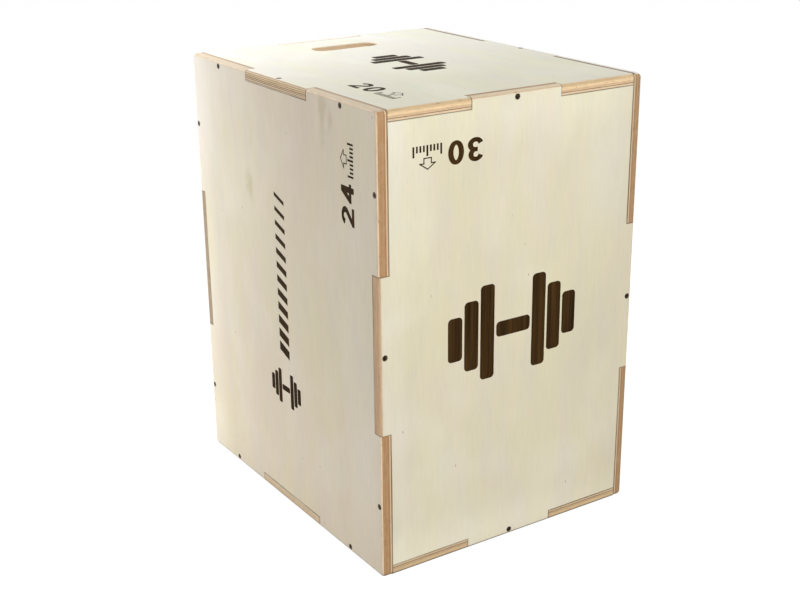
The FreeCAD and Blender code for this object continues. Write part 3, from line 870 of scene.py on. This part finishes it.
def barbell_tree(finish):
    """A handle with a row of rounded plates at each end, every plate lower than the last."""
    sizes = ["Count", "Handle", "Grip", "Plate", "Height", "Falloff", "Gap", "Corner"]
    tree, (count, handle, grip, plate, height, falloff, gap, corner) = new_tree(
        "barbell_sign", sizes)
    unit = count.node("GeometryNodeCurvePrimitiveQuadrilateral", {"mode": "RECTANGLE"},
                      {"Width": 1.0, "Height": 1.0})
    index = count.node("GeometryNodeInputIndex", {}, {})
    start = handle / 2 + gap + plate / 2
    side = count.node("GeometryNodeInstanceOnPoints", {},
                      {"Points": row_of_points(count, plate + gap, start), "Instance": unit,
                       "Scale": point(plate, height * (1.0 - index * falloff), 1.0)})
    turned = side.node("GeometryNodeTransform", {}, {"Geometry": side, "Rotation": (0, 0, pi)})
    bar = count.node("GeometryNodeCurvePrimitiveQuadrilateral", {"mode": "RECTANGLE"},
                     {"Width": handle, "Height": grip})
    whole = tree.nodes.new("GeometryNodeJoinGeometry")
    for part in (side, turned, bar):
        tree.links.new(part.socket, whole.inputs[0])
    outlines = side.node("GeometryNodeRealizeInstances", {},
                         {"Geometry": Wire(tree, whole.outputs[0])})
    rounded = side.node("GeometryNodeFilletCurve", {"mode": "POLY"},
                        {"Curve": outlines, "Count": CORNER_STEPS, "Radius": corner,
                         "Limit Radius": True})
    filled = side.node("GeometryNodeFillCurve", {"mode": "NGONS"}, {"Curve": rounded})
    end_tree(filled, finish)
    return tree


barbell = barbell_tree(burnt_front)
print(barbell.name, "has", len(barbell.nodes), "nodes")

# %% [markdown]
# ## Setting the marks into the faces
# A burnt mark is level with the wood. A decal plane would float and have no body, so each
# mark becomes a thin closed inlay that starts a little under the veneer and ends a hair
# above it, which is enough to be seen cleanly. Every mark is drawn flat first, then turned
# by a matrix of three directions: along its base line, up, and out of the face.

# %% Inlays
INLAY_UNDER, INLAY_PROUD, INLAY_WELD = 0.25, 0.06, 0.005
AXIS = {"+x": (1, 0, 0), "-x": (-1, 0, 0), "+y": (0, 1, 0), "-y": (0, -1, 0),
        "+z": (0, 0, 1), "-z": (0, 0, -1)}


def inlay(name, flats, finish, origin, along, up):
    """Make one piece of flat meshes in mm, set into a face at an origin given in mm."""
    shape = bmesh.new()
    for flat in flats:
        shape.from_mesh(flat)
    bmesh.ops.remove_doubles(shape, verts=shape.verts, dist=INLAY_WELD)
    for vertex in shape.verts:
        vertex.co.z = -INLAY_UNDER
    raised = bmesh.ops.extrude_face_region(shape, geom=shape.faces[:], use_keep_orig=True)
    for vertex in (g for g in raised["geom"] if isinstance(g, bmesh.types.BMVert)):
        vertex.co.z = INLAY_PROUD
    bmesh.ops.recalc_face_normals(shape, faces=shape.faces[:])
    x, y = Vector(AXIS[along]), Vector(AXIS[up])
    turn = Matrix((x, y, x.cross(y))).transposed().to_4x4()
    shape.transform(Matrix.Scale(1 / MM_PER_M, 4) @ Matrix.Translation(origin) @ turn)
    mesh = bpy.data.meshes.new(name)
    shape.to_mesh(mesh)
    shape.free()
    mesh.materials.clear()
    mesh.materials.append(finish)
    piece = bpy.data.objects.new(name, mesh)
    scene.collection.objects.link(piece)
    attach(piece, "root")
    print(name, "has", len(mesh.polygons), "faces")

# %% Height marks
TICKS_START = 76.0


def height_mark(text):
    """Number, arrow and ruler ticks, laid out on one base line."""
    row = grow(ticks, Count=9, Pitch=6.2, Width=3.3, Short=10.0, Long=16.5)
    row.transform(Matrix.Translation((TICKS_START, 0, 0)))
    return [number_shape(text), arrow_shape(), row]


inlay("height_mark_30", height_mark("30"), burnt_front, (-64.0, -HALF["y"], 701.0), "-x", "-z")
inlay("height_mark_24", height_mark("24"), burnt_side, (-HALF["x"], -238.3, 572.0), "+z", "+y")
inlay("height_mark_20", height_mark("20"), burnt_top, (-189.0, -116.8, TOP), "-y", "+x")

# %% Barbell signs and bars
def barbell_sign(scale):
    """The sign at a scale; at 1 it is 254 mm long."""
    sizes = {"Handle": 68.0, "Grip": 26.0, "Plate": 27.5, "Height": 160.0,
             "Gap": 4.0, "Corner": 7.0}
    sizes = {name: scale * size for name, size in sizes.items()}
    return [grow(barbell, Count=3, Falloff=0.27, **sizes)]


inlay("barbell_front", barbell_sign(1.0), burnt_front, (0, -HALF["y"], HALF["z"]), "+x", "+z")
inlay("barbell_top", barbell_sign(0.64), burnt_top, (0, -5.0, TOP), "-y", "+x")
inlay("barbell_side", barbell_sign(0.40), burnt_side, (-HALF["x"], 2.0, 222.0), "-y", "+z")
row_of_bars = grow(bars, Count=12, Pitch=24.5, Width=16.0, Height=33.0,
                   Lean=0.35, Thinning=0.85)
inlay("slanted_bars", [row_of_bars], burnt_side, (-HALF["x"], 1.5, 286.0), "+z", "+y")

# %% [markdown]
# ## White studio
# The photograph has a pure white ground with hardly a shadow. Lighting a floor until it is
# white would bleach the pale box too, so the floor is mostly its own white where the camera
# looks at it, with a small diffuse part that keeps the box's shadow. For all other rays it
# is a plain grey card, so little light bounces back up onto the box's lower half.

# %% Floor
FLOOR_SIZE, SHADOW_SHARE, SHADOW_LIFT = 40.0, 0.12, 0.55
BOUNCE = paint(168, 166, 162)

floor_mesh = bpy.data.meshes.new("floor")
half = FLOOR_SIZE / 2
floor_corners = [(-half, -half, 0), (half, -half, 0), (half, half, 0), (-half, half, 0)]
floor_mesh.from_pydata(floor_corners, [], [(0, 1, 2, 3)])
floor = bpy.data.objects.new("floor", floor_mesh)
scene.collection.objects.link(floor)
floor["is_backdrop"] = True


def seen_ray(tree):
    """1 for rays that show the ground itself: straight, mirrored or through glass."""
    path = tree.nodes.new("ShaderNodeLightPath")
    rays = [Wire(tree, path.outputs[name])
            for name in ("Is Camera Ray", "Is Glossy Ray", "Is Transmission Ray")]
    return rays[0].most(rays[1]).most(rays[2])


def white_floor():
    """White to the camera, with a faint shadow; a grey card to the light."""
    finish = bpy.data.materials.new("white_floor")
    finish.use_nodes = True
    tree = finish.node_tree
    tree.nodes.clear()
    seen = seen_ray(tree)
    card = seen.node("ShaderNodeBsdfDiffuse", {}, {"Color": BOUNCE})
    paper = seen.node("ShaderNodeBsdfDiffuse", {}, {"Color": WHITE})
    glow = seen.node("ShaderNodeEmission", {}, {"Color": WHITE, "Strength": 1.0})
    lift = seen.node("ShaderNodeEmission", {}, {"Color": WHITE, "Strength": SHADOW_LIFT})
    lit = seen.node("ShaderNodeAddShader", {}, {0: paper, 1: lift})
    ground = seen.node("ShaderNodeMixShader", {}, {0: SHADOW_SHARE, 1: glow, 2: lit})
    both = seen.node("ShaderNodeMixShader", {}, {0: seen, 1: card, 2: ground})
    leave = tree.nodes.new("ShaderNodeOutputMaterial")
    tree.links.new(both.socket, leave.inputs["Surface"])
    return finish


floor_mesh.materials.append(white_floor())
print("floor:", FLOOR_SIZE, "m,", floor_mesh.materials[0].name)

# %% World
AMBIENT = 0.42

world = bpy.data.worlds.new("studio")
world.use_nodes = True
scene.world = world
sky = world.node_tree.nodes["Background"]
seen = seen_ray(world.node_tree)
strength = seen * (1.0 - AMBIENT) + AMBIENT
world.node_tree.links.new(strength.socket, sky.inputs["Strength"])
sky.inputs["Color"].default_value = WHITE
print("world:", AMBIENT, "as light, 1 where it is seen")

# %% [markdown]
# ## Lamps
# The front face is brightest near its upper left corner, the left face and the top brighten
# towards the rear left. So a soft key stands beside the camera, two soft panels stand behind
# the box to the left, one low and one high, and two weak ones fill the left and right sides.
# A single large dome would be simpler, but it would light all faces alike. The lamps are
# hidden from the camera, and the even ambient does the rest, helped by painted light and shade
# in the colours of the front, the left face and the top.

# %% Soft lamps
def soft_lamp(name, place, target, size, power, colour):
    """A square area lamp aimed at a point, hidden from the camera."""
    lamp = bpy.data.lights.new(name, "AREA")
    lamp.shape, lamp.size, lamp.energy, lamp.color = "SQUARE", size, power, colour
    holder = bpy.data.objects.new(name, lamp)
    scene.collection.objects.link(holder)
    aim = (Vector(target) - Vector(place)).to_track_quat("-Z", "Y")
    holder.matrix_world = Matrix.Translation(place) @ aim.to_matrix().to_4x4()
    holder.visible_camera = False
    print(name, power, "W,", size, "m")


WARM, NEUTRAL = (1.0, 0.995, 0.98), (1.0, 1.0, 1.0)
soft_lamp("key", place=(-0.1, -2.7, 1.6), target=(0, -0.3, 0.5),
          size=1.4, power=43.0, colour=WARM)
soft_lamp("rear_left", place=(-0.75, 0.95, 0.35), target=(-0.25, 0.2, 0.28),
          size=0.7, power=4.6, colour=NEUTRAL)
soft_lamp("behind", place=(-0.3, 0.9, 1.35), target=(-0.05, 0.2, 0.76),
          size=0.7, power=10.0, colour=NEUTRAL)
soft_lamp("left_low", place=(-1.9, -0.4, 0.25), target=(-0.25, -0.1, 0.2),
          size=0.8, power=6.3, colour=NEUTRAL)
soft_lamp("right", place=(2.0, 0.2, 0.9), target=(0.2, -0.2, 0.5),
          size=1.2, power=20.0, colour=NEUTRAL)

# %% [markdown]
# Looks must not change the object's size: the inlays may only stand proud by a hair. How
# much the box around everything shown outgrows the box around the solids is printed.

# %% Measure and finish
seen_low, seen_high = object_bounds()
growth = (seen_high - seen_low) - (cad_high - cad_low)
print("grown by", [round(MM_PER_M * side, 2) for side in growth], "mm")
